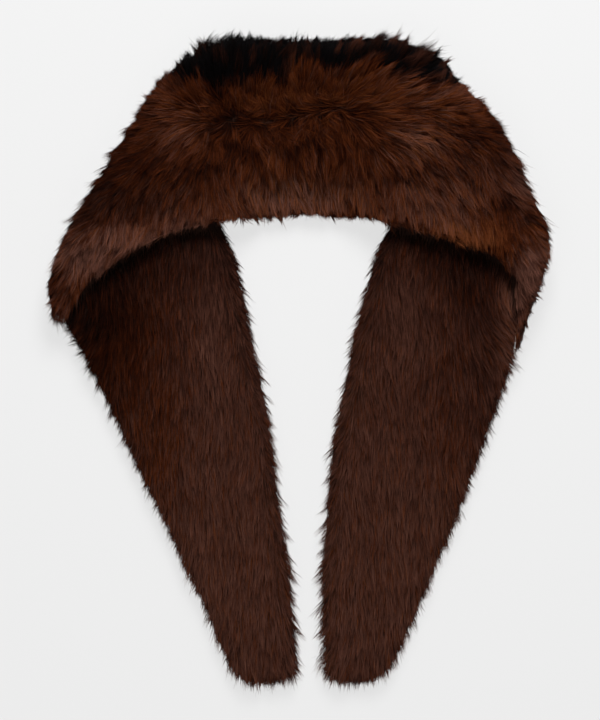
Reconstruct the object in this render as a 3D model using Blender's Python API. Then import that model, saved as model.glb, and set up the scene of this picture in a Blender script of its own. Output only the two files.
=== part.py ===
"""Fur collar wrap, laid flat with its collar turned over.

A long tapering strip of double-faced fur lies in an arch. Its two ends are the tails.
Its outer edge is folded over the back of the neck and both shoulders as the fall.
Plan: +Y towards the back of the neck, -Y towards the tail ends, +Z up from the surface.
All sizes are in metres. The solids reach as far as the tips of the fur.
"""

import bmesh
import bpy
import numpy as np

COLLECTION = "fur_collar_wrap"

# One laid layer of the strip, and the fold at the back of the neck.
LAYER = 0.028
FOLD_HEIGHT = 0.062
CORNER_HEIGHT = 0.034
ROLL_WIDTH = 0.033
CORNER_ROLL_WIDTH = 0.005
ROLL_GROWTH = 0.105
SEAM_GAP = 0.0003
LAYER_GAP = 0.0003
ROLL_GAP = 0.0008
LIP_WIDTH = 0.018
FREE_EDGE_THICKNESS = 0.023

# Spacing of the sections.
TAIL_STEP = 0.0075
FALL_STEP = 0.0080
HIDDEN_SHARE = 2

# Fur form: tufts along the edges and locks on the upper faces.
TAIL_TUFT = 0.0028
FREE_EDGE_TUFT = 0.0026
SHOULDER_TUFT = 0.0010
CROWN_TUFT = 0.0024
LOCK_DEPTH = 0.0016
LOCK_WIDTH = 0.019

# The hair of the fall parts along a line across the middle of the collar.
PARTING_LEFT = np.array((-0.075, 0.243))
PARTING_RIGHT = np.array((0.030, 0.241))
PARTING_DEPTH = 0.0055
PARTING_WIDTH = 0.013

# Soft hollows in the fall: x, y, radius, depth.
HOLLOWS = (
    (-0.160, 0.196, 0.026, 0.0040),
    (0.182, 0.203, 0.030, 0.0045),
    (-0.205, 0.128, 0.024, 0.0025),
)

# How far under the fall the neck edge of the strip still carries it.
CARRY_MARGIN = 0.006
CARRY_END = 0.040

TAIL_COLUMNS = ("outer_x", "outer_y", "inner_x", "inner_y", "top")
LEFT_TAIL = (
    (-0.048, -0.324, -0.026, -0.324, 0.010),
    (-0.060, -0.319, -0.008, -0.319, 0.018),
    (-0.069, -0.311, 0.001, -0.309, 0.022),
    (-0.075, -0.299, 0.001, -0.297, 0.024),
    (-0.095, -0.251, -0.003, -0.251, 0.025),
    (-0.118, -0.203, -0.007, -0.203, 0.026),
    (-0.140, -0.155, -0.015, -0.155, 0.026),
    (-0.164, -0.107, -0.021, -0.107, 0.027),
    (-0.185, -0.059, -0.027, -0.059, 0.028),
    (-0.209, -0.011, -0.038, -0.007, 0.028),
    (-0.233, 0.034, -0.048, 0.040, 0.028),
)
RIGHT_TAIL = (
    (0.066, -0.324, 0.044, -0.324, 0.010),
    (0.079, -0.319, 0.028, -0.319, 0.018),
    (0.090, -0.311, 0.022, -0.309, 0.022),
    (0.098, -0.299, 0.022, -0.297, 0.024),
    (0.120, -0.251, 0.020, -0.251, 0.025),
    (0.140, -0.203, 0.020, -0.203, 0.026),
    (0.161, -0.155, 0.024, -0.155, 0.026),
    (0.178, -0.107, 0.028, -0.107, 0.027),
    (0.195, -0.059, 0.035, -0.059, 0.028),
    (0.212, -0.011, 0.047, -0.007, 0.028),
)

# Stations across the fall, from its left corner round the neck to its right corner.
FALL_COLUMNS = ("fold_x", "fold_y", "free_x", "free_y", "neck_x", "neck_y")
FALL = (
    (-0.243, 0.047, -0.234, 0.038, -0.050, 0.052),
    (-0.250, 0.069, -0.212, 0.073, -0.054, 0.071),
    (-0.247, 0.097, -0.182, 0.096, -0.059, 0.097),
    (-0.229, 0.139, -0.148, 0.116, -0.070, 0.126),
    (-0.198, 0.188, -0.110, 0.129, -0.078, 0.149),
    (-0.167, 0.237, -0.077, 0.135, -0.074, 0.171),
    (-0.143, 0.277, -0.054, 0.138, -0.062, 0.189),
    (-0.104, 0.309, -0.034, 0.139, -0.046, 0.201),
    (-0.062, 0.322, -0.016, 0.141, -0.026, 0.210),
    (0.005, 0.320, 0.006, 0.142, 0.007, 0.215),
    (0.078, 0.324, 0.030, 0.140, 0.040, 0.210),
    (0.134, 0.309, 0.050, 0.139, 0.060, 0.201),
    (0.164, 0.278, 0.070, 0.138, 0.076, 0.189),
    (0.199, 0.240, 0.096, 0.131, 0.087, 0.171),
    (0.221, 0.196, 0.125, 0.124, 0.090, 0.149),
    (0.240, 0.156, 0.155, 0.116, 0.084, 0.129),
    (0.252, 0.118, 0.187, 0.104, 0.075, 0.111),
    (0.247, 0.089, 0.207, 0.090, 0.069, 0.089),
    (0.235, 0.058, 0.210, 0.058, 0.062, 0.063),
    (0.2175, 0.008, 0.2125, 0.005, 0.050, 0.020),
)
# Rows of FALL where one piece of the collar is sewn to the next.
LEFT_SEAM_ROW = 6.4
RIGHT_SEAM_ROW = 11.9
LEFT_SHOULDER_ROW = 3.0
RIGHT_SHOULDER_ROW = 15.0

# The roll in section: share of the roll's width from its outer side, share of its height.
ROLL_PROFILE = (
    (0.42, 0.00),
    (0.10, 0.15),
    (0.00, 0.38),
    (0.05, 0.62),
    (0.24, 0.83),
    (0.56, 0.95),
)
# A rounded edge in section: share of the rounding's width from the edge, share of height.
EDGE_PROFILE = (
    (0.60, 0.00),
    (0.12, 0.18),
    (0.00, 0.42),
    (0.12, 0.68),
    (0.42, 0.88),
    (1.00, 1.00),
)
EDGE_ROUNDING = 0.017
HIDDEN_ROUNDING = 0.007
FALL_TOP_POINTS = 11
FALL_UNDER_POINTS = 6
TAIL_TOP_POINTS = 8
COLLAR_TOP_POINTS = 2


def smoothstep(value, low, high):
    share = np.clip((value - low) / (high - low), 0.0, 1.0)
    return share * share * (3.0 - 2.0 * share)


def along_rows(table, row):
    """A table's values at a fractional row, on a smooth curve through its rows."""
    rows = np.asarray(table, float)
    row = min(max(row, 0.0), len(rows) - 1.0)
    first = min(int(row), len(rows) - 2)
    t = row - first
    here, after = rows[first], rows[first + 1]
    before = rows[first - 1] if first > 0 else 2.0 * here - after
    beyond = rows[first + 2] if first + 2 < len(rows) else 2.0 * after - here
    return 0.5 * (
        2.0 * here
        + (after - before) * t
        + (2.0 * before - 5.0 * here + 4.0 * after - beyond) * t**2
        + (3.0 * here - before - 3.0 * after + beyond) * t**3
    )


def place_at(table, columns, row, name):
    """The point that a pair of the table's columns gives at a fractional row."""
    values = along_rows(table, row)
    return np.array([values[columns.index(f"{name}_{axis}")] for axis in "xy"])


def even_rows(table, start, end, step):
    """Fractional rows from start to end, about one step apart along the first two columns."""
    fine = np.linspace(start, end, 600)
    line = np.array([along_rows(table, row)[:2] for row in fine])
    length = np.concatenate([[0.0], np.cumsum(np.linalg.norm(np.diff(line, axis=0), axis=1))])
    count = max(2, int(round(length[-1] / step)) + 1)
    return np.interp(np.linspace(0.0, length[-1], count), length, fine)


def fold_length_to(row):
    """Distance along the fold from its nearer corner to a row of the fall."""
    total = len(FALL) - 1.0
    start = 0.0 if row < total / 2.0 else total
    fine = np.array([along_rows(FALL, r)[:2] for r in np.linspace(start, row, 40)])
    return float(np.linalg.norm(np.diff(fine, axis=0), axis=1).sum())


class Station:
    """One line across the fall, from the fold to the free edge."""

    def __init__(self, row):
        self.fold = place_at(FALL, FALL_COLUMNS, row, "fold")
        self.free = place_at(FALL, FALL_COLUMNS, row, "free")
        self.neck = place_at(FALL, FALL_COLUMNS, row, "neck")
        grown = smoothstep(fold_length_to(row), 0.0, ROLL_GROWTH)
        self.roll = CORNER_ROLL_WIDTH + (ROLL_WIDTH - CORNER_ROLL_WIDTH) * grown
        self.top = CORNER_HEIGHT + (FOLD_HEIGHT - CORNER_HEIGHT) * grown
        self.length = float(np.linalg.norm(self.free - self.fold))
        self.inward = (self.free - self.fold) / self.length
        self.roll = min(self.roll, 0.45 * self.length)

    def at(self, distance, height, outward=0.0):
        place = self.fold + self.inward * (distance - outward)
        return np.array((place[0], place[1], height))


def neck_edge():
    """The strip's neck edge in plan, from the left tail's end round to the right tail's end."""
    left = [place_at(LEFT_TAIL, TAIL_COLUMNS, row, "inner") for row in range(len(LEFT_TAIL))]
    middle = [place_at(FALL, FALL_COLUMNS, row, "neck") for row in range(len(FALL))]
    right = [place_at(RIGHT_TAIL, TAIL_COLUMNS, row, "inner") for row in range(len(RIGHT_TAIL))]
    return np.array(left + middle + right[::-1])


def past_neck_edge(place, line):
    """How far a point lies inside the neck gap. It is negative over the strip."""
    starts, ends = line[:-1], line[1:]
    spans = ends - starts
    share = np.clip(((place - starts) * spans).sum(1) / (spans**2).sum(1), 0.0, 1.0)
    gaps = place - (starts + share[:, None] * spans)
    distances = np.linalg.norm(gaps, axis=1)
    nearest = int(distances.argmin())
    turn = spans[nearest][0] * gaps[nearest][1] - spans[nearest][1] * gaps[nearest][0]
    return float(distances[nearest]) * (1.0 if turn < 0.0 else -1.0)


def carried_height(place, line, margin, end):
    """Height of the layer that carries the fall at a point: the strip, or the surface."""
    past = past_neck_edge(place, line)
    return (LAYER + LAYER_GAP) * (1.0 - float(smoothstep(past, margin, end)))


def tuft(index, depth):
    """Every second section reaches out as a tuft, unevenly."""
    uneven = 0.65 + 0.35 * np.sin(2.3 * index) * np.cos(0.9 * index)
    return depth * uneven if index % 2 else -depth * uneven


def locks(x, y, slant):
    """Depth of the furrows between locks of fur that lie along a slanted direction."""
    across = x * np.cos(slant) + y * np.sin(slant)
    along = y * np.cos(slant) - x * np.sin(slant)
    wander = 0.35 * np.sin(along / 0.031) + 0.25 * np.sin(along / 0.013 + 2.0 * across / LOCK_WIDTH)
    wave = np.sin(2.0 * np.pi * across / LOCK_WIDTH + 2.0 * np.pi * wander)
    breaks = 0.5 + 0.5 * np.sin(along / 0.017 + 3.1 * np.sin(across / 0.023))
    return LOCK_DEPTH * (0.5 + 0.5 * wave) * (0.55 + 0.45 * breaks)


def parting_direction(place):
    """Direction in which the hair of the fall lies, away from the parting line."""
    span = PARTING_RIGHT - PARTING_LEFT
    share = np.clip((place - PARTING_LEFT) @ span / (span @ span), 0.0, 1.0)
    away = place - (PARTING_LEFT + share * span)
    return away, float(np.linalg.norm(away))


def fall_relief(place):
    """Depth of the parting, the hollows and the furrows between locks on the fall."""
    away, distance = parting_direction(place)
    depth = PARTING_DEPTH * np.exp(-((distance / PARTING_WIDTH) ** 2))
    for x, y, radius, hollow in HOLLOWS:
        near = np.hypot(place[0] - x, place[1] - y) / radius
        depth += hollow * np.exp(-(near**2))
    slant = np.arctan2(away[1], away[0]) - np.pi / 2.0
    return float(depth + locks(place[0], place[1], slant))


def fall_thickness(station, distance):
    """Thickness of the fall's wall, thinner towards its free edge."""
    near_roll = station.top - LAYER - LAYER_GAP
    edge = min(FREE_EDGE_THICKNESS, near_roll)
    share = smoothstep(distance, station.roll, station.length)
    return near_roll + (edge - near_roll) * float(share)


def fall_top(station, distance, line):
    place = station.at(distance, 0.0)[:2]
    carried = carried_height(place, line, -0.025, 0.055)
    return carried + fall_thickness(station, distance)


def fall_panel_points(station, index, line, start):
    """Upper face, lip and underside of the fall from a distance inside the fold, in order."""
    lip = min(LIP_WIDTH, 0.45 * (station.length - start))
    reach = tuft(index, min(FREE_EDGE_TUFT, 0.2 * lip))
    fade = float(smoothstep(station.length, 0.02, 0.06))
    points = []
    for distance in np.linspace(start, station.length - lip, FALL_TOP_POINTS):
        place = station.at(distance, 0.0)[:2]
        inside = float(smoothstep(distance - start, 0.0, 0.02))
        height = fall_top(station, distance, line)
        height -= fade * inside * fall_relief(place)
        points.append(station.at(distance, height))
    rim_top = points[-1][2]
    free = station.at(station.length, 0.0)[:2]
    rim_under = carried_height(free, line, CARRY_MARGIN, CARRY_END)
    for across, up in ((0.50, 0.90), (0.86, 0.66), (1.00, 0.38), (0.88, 0.12)):
        height = rim_under + (rim_top - rim_under) * up
        points.append(station.at(station.length - lip * (1.0 - across) + reach * across, height))
    for distance in np.linspace(station.length - 0.5 * lip, start, FALL_UNDER_POINTS):
        place = station.at(distance, 0.0)[:2]
        height = carried_height(place, line, CARRY_MARGIN, CARRY_END)
        points.append(station.at(distance, height))
    return points


def roll_points(station, index, depth):
    """The roll of the fold in section, from its inner foot round its outer side."""
    outward = tuft(index, min(depth, 0.2 * station.roll))
    points = [station.at(station.roll, 0.0)]
    for across, up in ROLL_PROFILE:
        out = outward if 0.05 < up < 0.9 else 0.0
        points.append(station.at(station.roll * across, station.top * up, out))
    return points


def shoulder_section(station, index, line):
    """A whole hook: foot, roll, upper face, lip and underside."""
    return roll_points(station, index, SHOULDER_TUFT) + fall_panel_points(
        station, index, line, station.roll
    )


def crown_section(station, index, line):
    """The roll alone, closed by its seam with the centre of the fall."""
    seam = station.at(station.roll, fall_top(station, station.roll, line))
    middle = station.at(station.roll, LAYER)
    return roll_points(station, index, CROWN_TUFT) + [seam, middle]


def centre_section(station, index, line):
    """The flat of the fall between the crown seam and the free edge."""
    return fall_panel_points(station, index, line, station.roll + SEAM_GAP)


def strip_section(outer, inner, top, rounding, top_points, relief, tufts):
    """One layer of the strip in section, flat below and rounded at both edges."""
    across = inner - outer
    width = float(np.linalg.norm(across))
    across = across / width
    outer_round = min(rounding[0], 0.42 * width)
    inner_round = min(rounding[1], 0.42 * width)

    def at(distance, height):
        place = outer + across * distance
        return np.array((place[0], place[1], height))

    points = []
    for share, up in EDGE_PROFILE:
        out = tufts[0] if 0.05 < up < 0.9 else 0.0
        points.append(at(outer_round * share - out, top * up))
    for distance in np.linspace(outer_round, width - inner_round, top_points + 2)[1:-1]:
        place = at(distance, 0.0)
        points.append(at(distance, top - relief(place[0], place[1])))
    for share, up in reversed(EDGE_PROFILE):
        out = tufts[1] if 0.05 < up < 0.9 else 0.0
        points.append(at(width - inner_round * share + out, top * up))
    return points


def tail_relief(shown):
    return lambda x, y: shown * float(locks(x, y, 0.06))


def no_relief(x, y):
    return 0.0


def tail_sections(table):
    """Sections of the open length of a tail, from its end up to the corner of the fall."""
    sections = []
    for index, row in enumerate(even_rows(table, 0.0, len(table) - 1.0, TAIL_STEP)):
        outer = place_at(table, TAIL_COLUMNS, row, "outer")
        inner = place_at(table, TAIL_COLUMNS, row, "inner")
        top = along_rows(table, row)[TAIL_COLUMNS.index("top")]
        shown = float(smoothstep(len(table) - 1.0 - row, 0.2, 1.4))
        tip = float(smoothstep(row, 0.0, 3.0))
        tufts = [tuft(index + shift, TAIL_TUFT) * shown for shift in (0, 1)]
        rounding = 0.010 + (EDGE_ROUNDING - 0.010) * tip
        sections.append(
            strip_section(
                outer, inner, top, (rounding, rounding), TAIL_TOP_POINTS, tail_relief(shown), tufts
            )
        )
    return sections


def strip_under_fall(rows, top_points):
    """Sections of the strip where the fall covers it, just inside the roll."""
    sections = []
    for row in rows:
        station = Station(row)
        outer = station.fold + station.inward * (station.roll + ROLL_GAP)
        rounding = (HIDDEN_ROUNDING, EDGE_ROUNDING)
        sections.append(
            strip_section(outer, station.neck, LAYER, rounding, top_points, no_relief, (0.0, 0.0))
        )
    return sections


def moved_along(section, towards, distance):
    """A section moved a little towards another one, to leave a seam's gap."""
    ring, goal = np.array(section), np.array(towards)
    corner = ring[:, :2] - ring[:, :2].mean(0)
    _, _, axes = np.linalg.svd(corner)
    normal = np.array((axes[1][0], axes[1][1], 0.0))
    if normal @ (goal.mean(0) - ring.mean(0)) < 0.0:
        normal = -normal
    return list(ring + normal * distance)


def loft(name, sections, material):
    """A closed solid through rings of equal count, with flat ends."""
    rings = [np.array(section) for section in sections]
    count = len(rings[0])
    vertices = np.concatenate(rings)
    faces = []
    for i in range(len(rings) - 1):
        for j in range(count):
            after = (j + 1) % count
            ring, beyond = i * count, (i + 1) * count
            faces.append((ring + j, ring + after, beyond + after, beyond + j))
    last = (len(rings) - 1) * count
    faces.append(tuple(range(count - 1, -1, -1)))
    faces.append(tuple(range(last, last + count)))
    mesh = bpy.data.meshes.new(name)
    mesh.from_pydata([tuple(v) for v in vertices], [], faces)
    mesh.validate()
    thing = bpy.data.objects.new(name, mesh)
    bpy.data.collections[COLLECTION].objects.link(thing)
    thing.data.materials.append(material)
    return thing


def faced_outwards(thing):
    """Turns the faces of a closed solid outwards."""
    shape = bmesh.new()
    shape.from_mesh(thing.data)
    bmesh.ops.recalc_face_normals(shape, faces=shape.faces)
    if shape.calc_volume(signed=True) < 0.0:
        bmesh.ops.reverse_faces(shape, faces=shape.faces)
    shape.to_mesh(thing.data)
    shape.free()
    thing.data.shade_smooth()
    thing.data.set_sharp_from_angle(angle=np.radians(50.0))


def fur_material(name, colour, roughness):
    material = bpy.data.materials.new(name)
    material.use_nodes = True
    shader = material.node_tree.nodes["Principled BSDF"]
    shader.inputs["Base Color"].default_value = (*colour, 1.0)
    shader.inputs["Roughness"].default_value = roughness
    shader.inputs["Metallic"].default_value = 0.0
    return material


def clear_scene():
    for thing in list(bpy.data.objects):
        bpy.data.objects.remove(thing)
    collection = bpy.data.collections.new(COLLECTION)
    bpy.context.scene.collection.children.link(collection)


def make_tail(name, table, corner_row, shoulder_row, material):
    """A tail from its end, under the corner of the fall and up to its shoulder seam."""
    hidden = even_rows(FALL, corner_row, shoulder_row, FALL_STEP * HIDDEN_SHARE)
    sections = tail_sections(table) + strip_under_fall(hidden, TAIL_TOP_POINTS)
    sections[-1] = moved_along(sections[-1], sections[-2], SEAM_GAP / 2.0)
    return loft(name, sections, material)


def make_under_collar(material):
    rows = even_rows(FALL, LEFT_SHOULDER_ROW, RIGHT_SHOULDER_ROW, FALL_STEP * HIDDEN_SHARE)
    sections = strip_under_fall(rows, COLLAR_TOP_POINTS)
    sections[0] = moved_along(sections[0], sections[1], SEAM_GAP / 2.0)
    sections[-1] = moved_along(sections[-1], sections[-2], SEAM_GAP / 2.0)
    return loft("under_collar", sections, material)


def make_fall_piece(name, section_of, rows, sewn_ends, material):
    """A piece of the fall between two rows, drawn back a little where it is sewn."""
    line = neck_edge()
    stations = [Station(row) for row in even_rows(FALL, *rows, FALL_STEP)]
    sections = [section_of(station, i, line) for i, station in enumerate(stations)]
    if sewn_ends[0]:
        sections[0] = moved_along(sections[0], sections[1], SEAM_GAP / 2.0)
    if sewn_ends[1]:
        sections[-1] = moved_along(sections[-1], sections[-2], SEAM_GAP / 2.0)
    return loft(name, sections, material)


def centre_on_origin(things):
    """Moves the whole wrap so that its box is centred over the origin."""
    points = np.array([v.co for thing in things for v in thing.data.vertices])
    middle = (points.min(0) + points.max(0)) / 2.0
    for thing in things:
        for vertex in thing.data.vertices:
            vertex.co.x -= middle[0]
            vertex.co.y -= middle[1]


def main():
    clear_scene()
    inner_fur = fur_material("inner_fur", (0.045, 0.018, 0.012), 0.62)
    outer_fur = fur_material("outer_fur", (0.060, 0.022, 0.010), 0.55)
    black_fur = fur_material("black_fur", (0.004, 0.003, 0.003), 0.55)
    last = len(FALL) - 1.0
    left_rows = (0.0, LEFT_SEAM_ROW)
    middle_rows = (LEFT_SEAM_ROW, RIGHT_SEAM_ROW)
    right_rows = (RIGHT_SEAM_ROW, last)
    things = [
        make_tail("tail_left", LEFT_TAIL, 0.0, LEFT_SHOULDER_ROW, inner_fur),
        make_tail("tail_right", RIGHT_TAIL, last, RIGHT_SHOULDER_ROW, inner_fur),
        make_under_collar(inner_fur),
        make_fall_piece("fall_left", shoulder_section, left_rows, (False, True), outer_fur),
        make_fall_piece("fall_centre", centre_section, middle_rows, (True, True), outer_fur),
        make_fall_piece("fall_right", shoulder_section, right_rows, (True, False), outer_fur),
        make_fall_piece("crown_band", crown_section, middle_rows, (True, True), black_fur),
    ]
    for thing in things:
        faced_outwards(thing)
    centre_on_origin(things)


main()
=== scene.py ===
"""Fur collar wrap, laid flat with its collar turned over.

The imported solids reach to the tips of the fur. Here each layer of the wrap gets its
pelt, the skin with its dense underfur, a pile's depth inside those solids. The long
hair then grows on the pelts, combed as the real fur lies.
Plan: +Y towards the back of the neck, -Y towards the tail ends, +Z up. Metres.
"""

from typing import Callable, NamedTuple

import bmesh
import bpy
import numpy as np
from bpy.props import FloatProperty, FloatVectorProperty, IntProperty, PointerProperty
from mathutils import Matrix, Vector
from mathutils.bvhtree import BVHTree


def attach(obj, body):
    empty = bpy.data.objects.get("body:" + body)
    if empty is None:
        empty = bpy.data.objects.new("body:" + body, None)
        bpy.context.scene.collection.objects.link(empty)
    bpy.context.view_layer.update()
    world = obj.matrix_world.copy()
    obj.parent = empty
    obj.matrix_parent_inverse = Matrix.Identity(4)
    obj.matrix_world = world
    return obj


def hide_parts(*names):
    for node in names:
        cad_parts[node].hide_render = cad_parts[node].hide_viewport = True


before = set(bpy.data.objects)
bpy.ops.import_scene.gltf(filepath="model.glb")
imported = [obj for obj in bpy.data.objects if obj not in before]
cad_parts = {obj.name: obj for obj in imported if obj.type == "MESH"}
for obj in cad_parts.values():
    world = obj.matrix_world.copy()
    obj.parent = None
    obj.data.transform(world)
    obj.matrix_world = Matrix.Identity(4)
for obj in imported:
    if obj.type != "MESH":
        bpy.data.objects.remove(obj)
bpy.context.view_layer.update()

bl_info = {
    "name": "Fur collar wrap",
    "version": (1, 0, 0),
    "blender": (4, 5, 0),
    "location": "3D View > Sidebar > Fur Wrap",
    "description": "Builds the pelts and the combed hair of a fur collar wrap",
    "category": "Object",
}

# The two pelts, and the solids that each stands for.
STRIP_NODES = ("tail_left", "tail_right", "under_collar")
FALL_NODES = ("fall_left", "fall_centre", "fall_right", "crown_band")

# The hair of the fall parts along this line, in plan.
PARTING = ((-0.076, 0.240), (-0.045, 0.234), (0.000, 0.243), (0.036, 0.249))

# The two tails lie on either side of this x.
TAIL_SPLIT = 0.0075

# A height above all of the wrap, and the height of the lowest hair over the floor.
SKY = 1.0
LOWEST_HAIR = 0.0006

# A blade of hair has this many rows of points below its tip.
BLADE_ROWS = 2

# A hair's room before the outline is measured in this many steps.
ROOM_STEPS = 10

# The strip's hair is darker near the fall that lies over it, a shadow painted into its tone: the most that
# its tone drops, how far that reaches, and between which x it ends at the right shoulder.
SHADOW_DEPTH = 0.34
SHADOW_REACH = 0.075
SHADOW_END = (0.184, 0.206)

# How far the floor reaches to each side, and each light's place and width.
FLOOR_REACH = 3.0
KEY_LIGHT = ((0.25, 1.6, 1.7), 1.0)
FILL_LIGHT = ((-0.6, -1.0, 2.6), 2.4)

# Where the black hair of the crown ends, from left to right: x, y.
CROWN_EDGE = (
    (-0.136, 0.291),
    (-0.120, 0.283),
    (-0.100, 0.277),
    (-0.080, 0.274),
    (-0.050, 0.276),
    (-0.038, 0.285),
    (-0.020, 0.280),
    (-0.010, 0.292),
    (0.010, 0.301),
    (0.025, 0.290),
    (0.045, 0.291),
    (0.060, 0.299),
    (0.080, 0.294),
    (0.095, 0.284),
    (0.110, 0.277),
    (0.130, 0.275),
    (0.152, 0.271),
    (0.168, 0.284),
)

# Places where the fall's hair is swept aside: x, y, radius, push along x, push along y.
FALL_SWEEPS = (
    (0.226, 0.050, 0.040, 0.9, 0.0),
    (0.150, 0.125, 0.045, -0.35, -0.5),
    (-0.240, 0.070, 0.030, -0.5, -0.3),
    (-0.020, 0.312, 0.034, 0.5, 0.0),
    (0.050, 0.312, 0.040, 0.7, 0.0),
    (0.120, 0.305, 0.034, 0.4, 0.0),
    (-0.110, 0.300, 0.022, -0.3, 0.2),
)

# The same for the tails.
TAIL_SWEEPS = (
    (0.206, 0.030, 0.032, 1.0, 0.1),
    (-0.222, 0.020, 0.026, -0.9, 0.2),
    (-0.002, -0.290, 0.030, 0.5, 0.0),
    (0.020, -0.280, 0.030, -0.5, 0.0),
)

# Tone of the black crown at its left and its right end: x, tone. It lies below the
# palette, so that only the lightest of its tufts show brown.
CROWN_TONES = ((-0.020, -0.32), (0.060, -0.06))

# Patches of the fall that differ from the rest of it: x, y, radius, stretch along y, change of tone, change
# of warmth. The light cool patches are a painted sheen where the hair catches the light, the dark ones on the
# shoulders and at the parting are painted shade, and the others vary the fur's own colour.
FALL_PATCHES = (
    (-0.125, 0.222, 0.024, 1.0, 0.20, -0.45),
    (-0.215, 0.092, 0.036, 0.50, 0.40, -0.75),
    (-0.165, 0.114, 0.038, 0.42, 0.50, -0.72),
    (-0.238, 0.048, 0.020, 1.0, 0.06, -0.55),
    (-0.243, 0.074, 0.009, 1.3, -0.24, 0.00),
    (-0.115, 0.128, 0.034, 0.45, 0.34, -0.60),
    (-0.005, 0.158, 0.080, 0.38, 0.40, -0.60),
    (0.120, 0.218, 0.026, 0.8, 0.34, -0.45),
    (0.130, 0.145, 0.050, 0.45, 0.16, -0.50),
    (0.224, 0.072, 0.020, 1.3, 0.04, -0.75),
    (-0.218, 0.128, 0.034, 1.0, 0.04, -0.45),
    (0.165, 0.116, 0.038, 0.40, 0.56, 0.25),
    (0.236, 0.094, 0.018, 1.6, 0.36, -0.60),
    (0.222, 0.030, 0.020, 1.8, 0.20, -0.60),
    # A painted light along the valley where the fall's end meets the tail, which lightens the shade there.
    (0.214, 0.048, 0.008, 4.0, 0.20, -0.20),
    (0.203, 0.136, 0.016, 1.0, -0.12, 0.20),
    (0.224, 0.176, 0.020, 1.8, 0.14, -0.75),
    (0.170, 0.180, 0.060, 0.60, 0.02, -0.40),
    (0.120, 0.272, 0.050, 0.45, 0.22, -0.20),
    (0.030, 0.252, 0.110, 0.18, 0.10, 0.00),
    (-0.010, 0.268, 0.060, 0.35, 0.08, 0.00),
    (-0.138, 0.268, 0.026, 0.8, 0.06, -0.20),
    (-0.145, 0.152, 0.050, 0.36, -0.13, -0.40),
    (-0.182, 0.185, 0.034, 1.3, -0.22, 0.00),
    (-0.215, 0.148, 0.026, 1.0, -0.18, 0.00),
    (-0.110, 0.190, 0.040, 0.6, -0.14, 0.00),
    (-0.085, 0.176, 0.028, 0.8, -0.08, 0.00),
    (-0.078, 0.240, 0.012, 1.3, -0.28, 0.00),
    (-0.015, 0.205, 0.070, 0.30, -0.08, 0.00),
    (0.005, 0.228, 0.030, 0.50, -0.09, 0.00),
    (0.165, 0.262, 0.026, 0.80, 0.14, -0.20),
    (0.020, 0.242, 0.070, 0.12, -0.04, 0.00),
    (0.090, 0.172, 0.024, 0.8, -0.14, 0.00),
    (0.178, 0.208, 0.034, 1.0, -0.12, 0.00),
    (0.222, 0.128, 0.028, 1.0, -0.12, 0.00),
)

# The same for the tails.
TAIL_PATCHES = (
    (-0.205, 0.030, 0.036, 2.0, -0.16, 0.70),
    (-0.165, 0.020, 0.040, 2.4, -0.10, 0.50),
    (-0.140, -0.090, 0.022, 3.2, -0.05, 0.40),
    (-0.088, 0.030, 0.018, 2.8, 0.08, -0.15),
    (0.170, 0.062, 0.030, 1.0, -0.12, 0.30),
    (0.135, 0.100, 0.060, 0.3, 0.00, 0.30),
    (0.105, 0.050, 0.016, 3.0, 0.08, -0.15),
    (0.204, 0.015, 0.018, 2.6, 0.12, 0.05),
    # A painted light along the valley beside the fall's end, which lightens the shade there.
    (0.209, 0.044, 0.008, 4.0, 0.10, 0.00),
    (0.150, -0.060, 0.020, 4.0, -0.01, 0.30),
)

# Where the fall's hair is shorter or longer than elsewhere, and how much further it
# reaches past the solids' outline there: x, y, radius, stretch along y, change of length,
# further reach.
FALL_LENGTHS = (
    (0.180, 0.102, 0.030, 0.7, 0.00, -0.003),
    (-0.180, 0.097, 0.030, 0.8, 0.00, -0.003),
    (-0.240, 0.050, 0.018, 1.0, 0.45, 0.008),
    (-0.215, 0.160, 0.060, 1.0, -0.10, -0.003),
    (0.240, 0.150, 0.050, 1.0, -0.15, -0.004),
    (-0.240, 0.110, 0.034, 1.0, -0.20, 0.000),
    (0.222, 0.030, 0.030, 1.0, -0.30, -0.004),
    (0.245, 0.090, 0.035, 1.0, -0.20, 0.000),
    (-0.075, 0.241, 0.018, 1.0, -0.30, 0.000),
    (-0.020, 0.243, 0.024, 1.0, -0.22, 0.000),
    (0.025, 0.247, 0.024, 1.0, -0.22, 0.000),
    (-0.095, 0.312, 0.022, 1.0, 0.00, 0.006),
    (-0.127, 0.287, 0.022, 1.0, 0.00, -0.006),
    (0.078, 0.326, 0.030, 0.6, 0.00, -0.003),
    (0.150, 0.298, 0.016, 1.0, 0.00, -0.003),
    (0.167, 0.277, 0.022, 1.0, 0.00, -0.006),
    (0.207, 0.224, 0.022, 1.0, 0.00, -0.005),
    (0.226, 0.178, 0.030, 1.0, 0.00, -0.003),
    (-0.068, 0.139, 0.012, 1.0, 0.00, 0.004),
    (0.082, 0.137, 0.012, 1.0, 0.00, 0.003),
)

# The same for the tails.
TAIL_LENGTHS = (
    (-0.052, 0.050, 0.016, 3.0, 0.00, 0.003),
    (0.212, 0.008, 0.016, 1.6, 0.10, 0.006),
    (0.050, 0.035, 0.016, 2.5, 0.00, -0.003),
    (-0.002, -0.260, 0.014, 5.0, 0.00, 0.0040),
    (0.020, -0.260, 0.014, 4.0, 0.00, 0.0025),
    (-0.035, -0.326, 0.040, 0.35, 0.00, -0.004),
    (0.058, -0.326, 0.040, 0.35, 0.00, -0.006),
)
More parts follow.
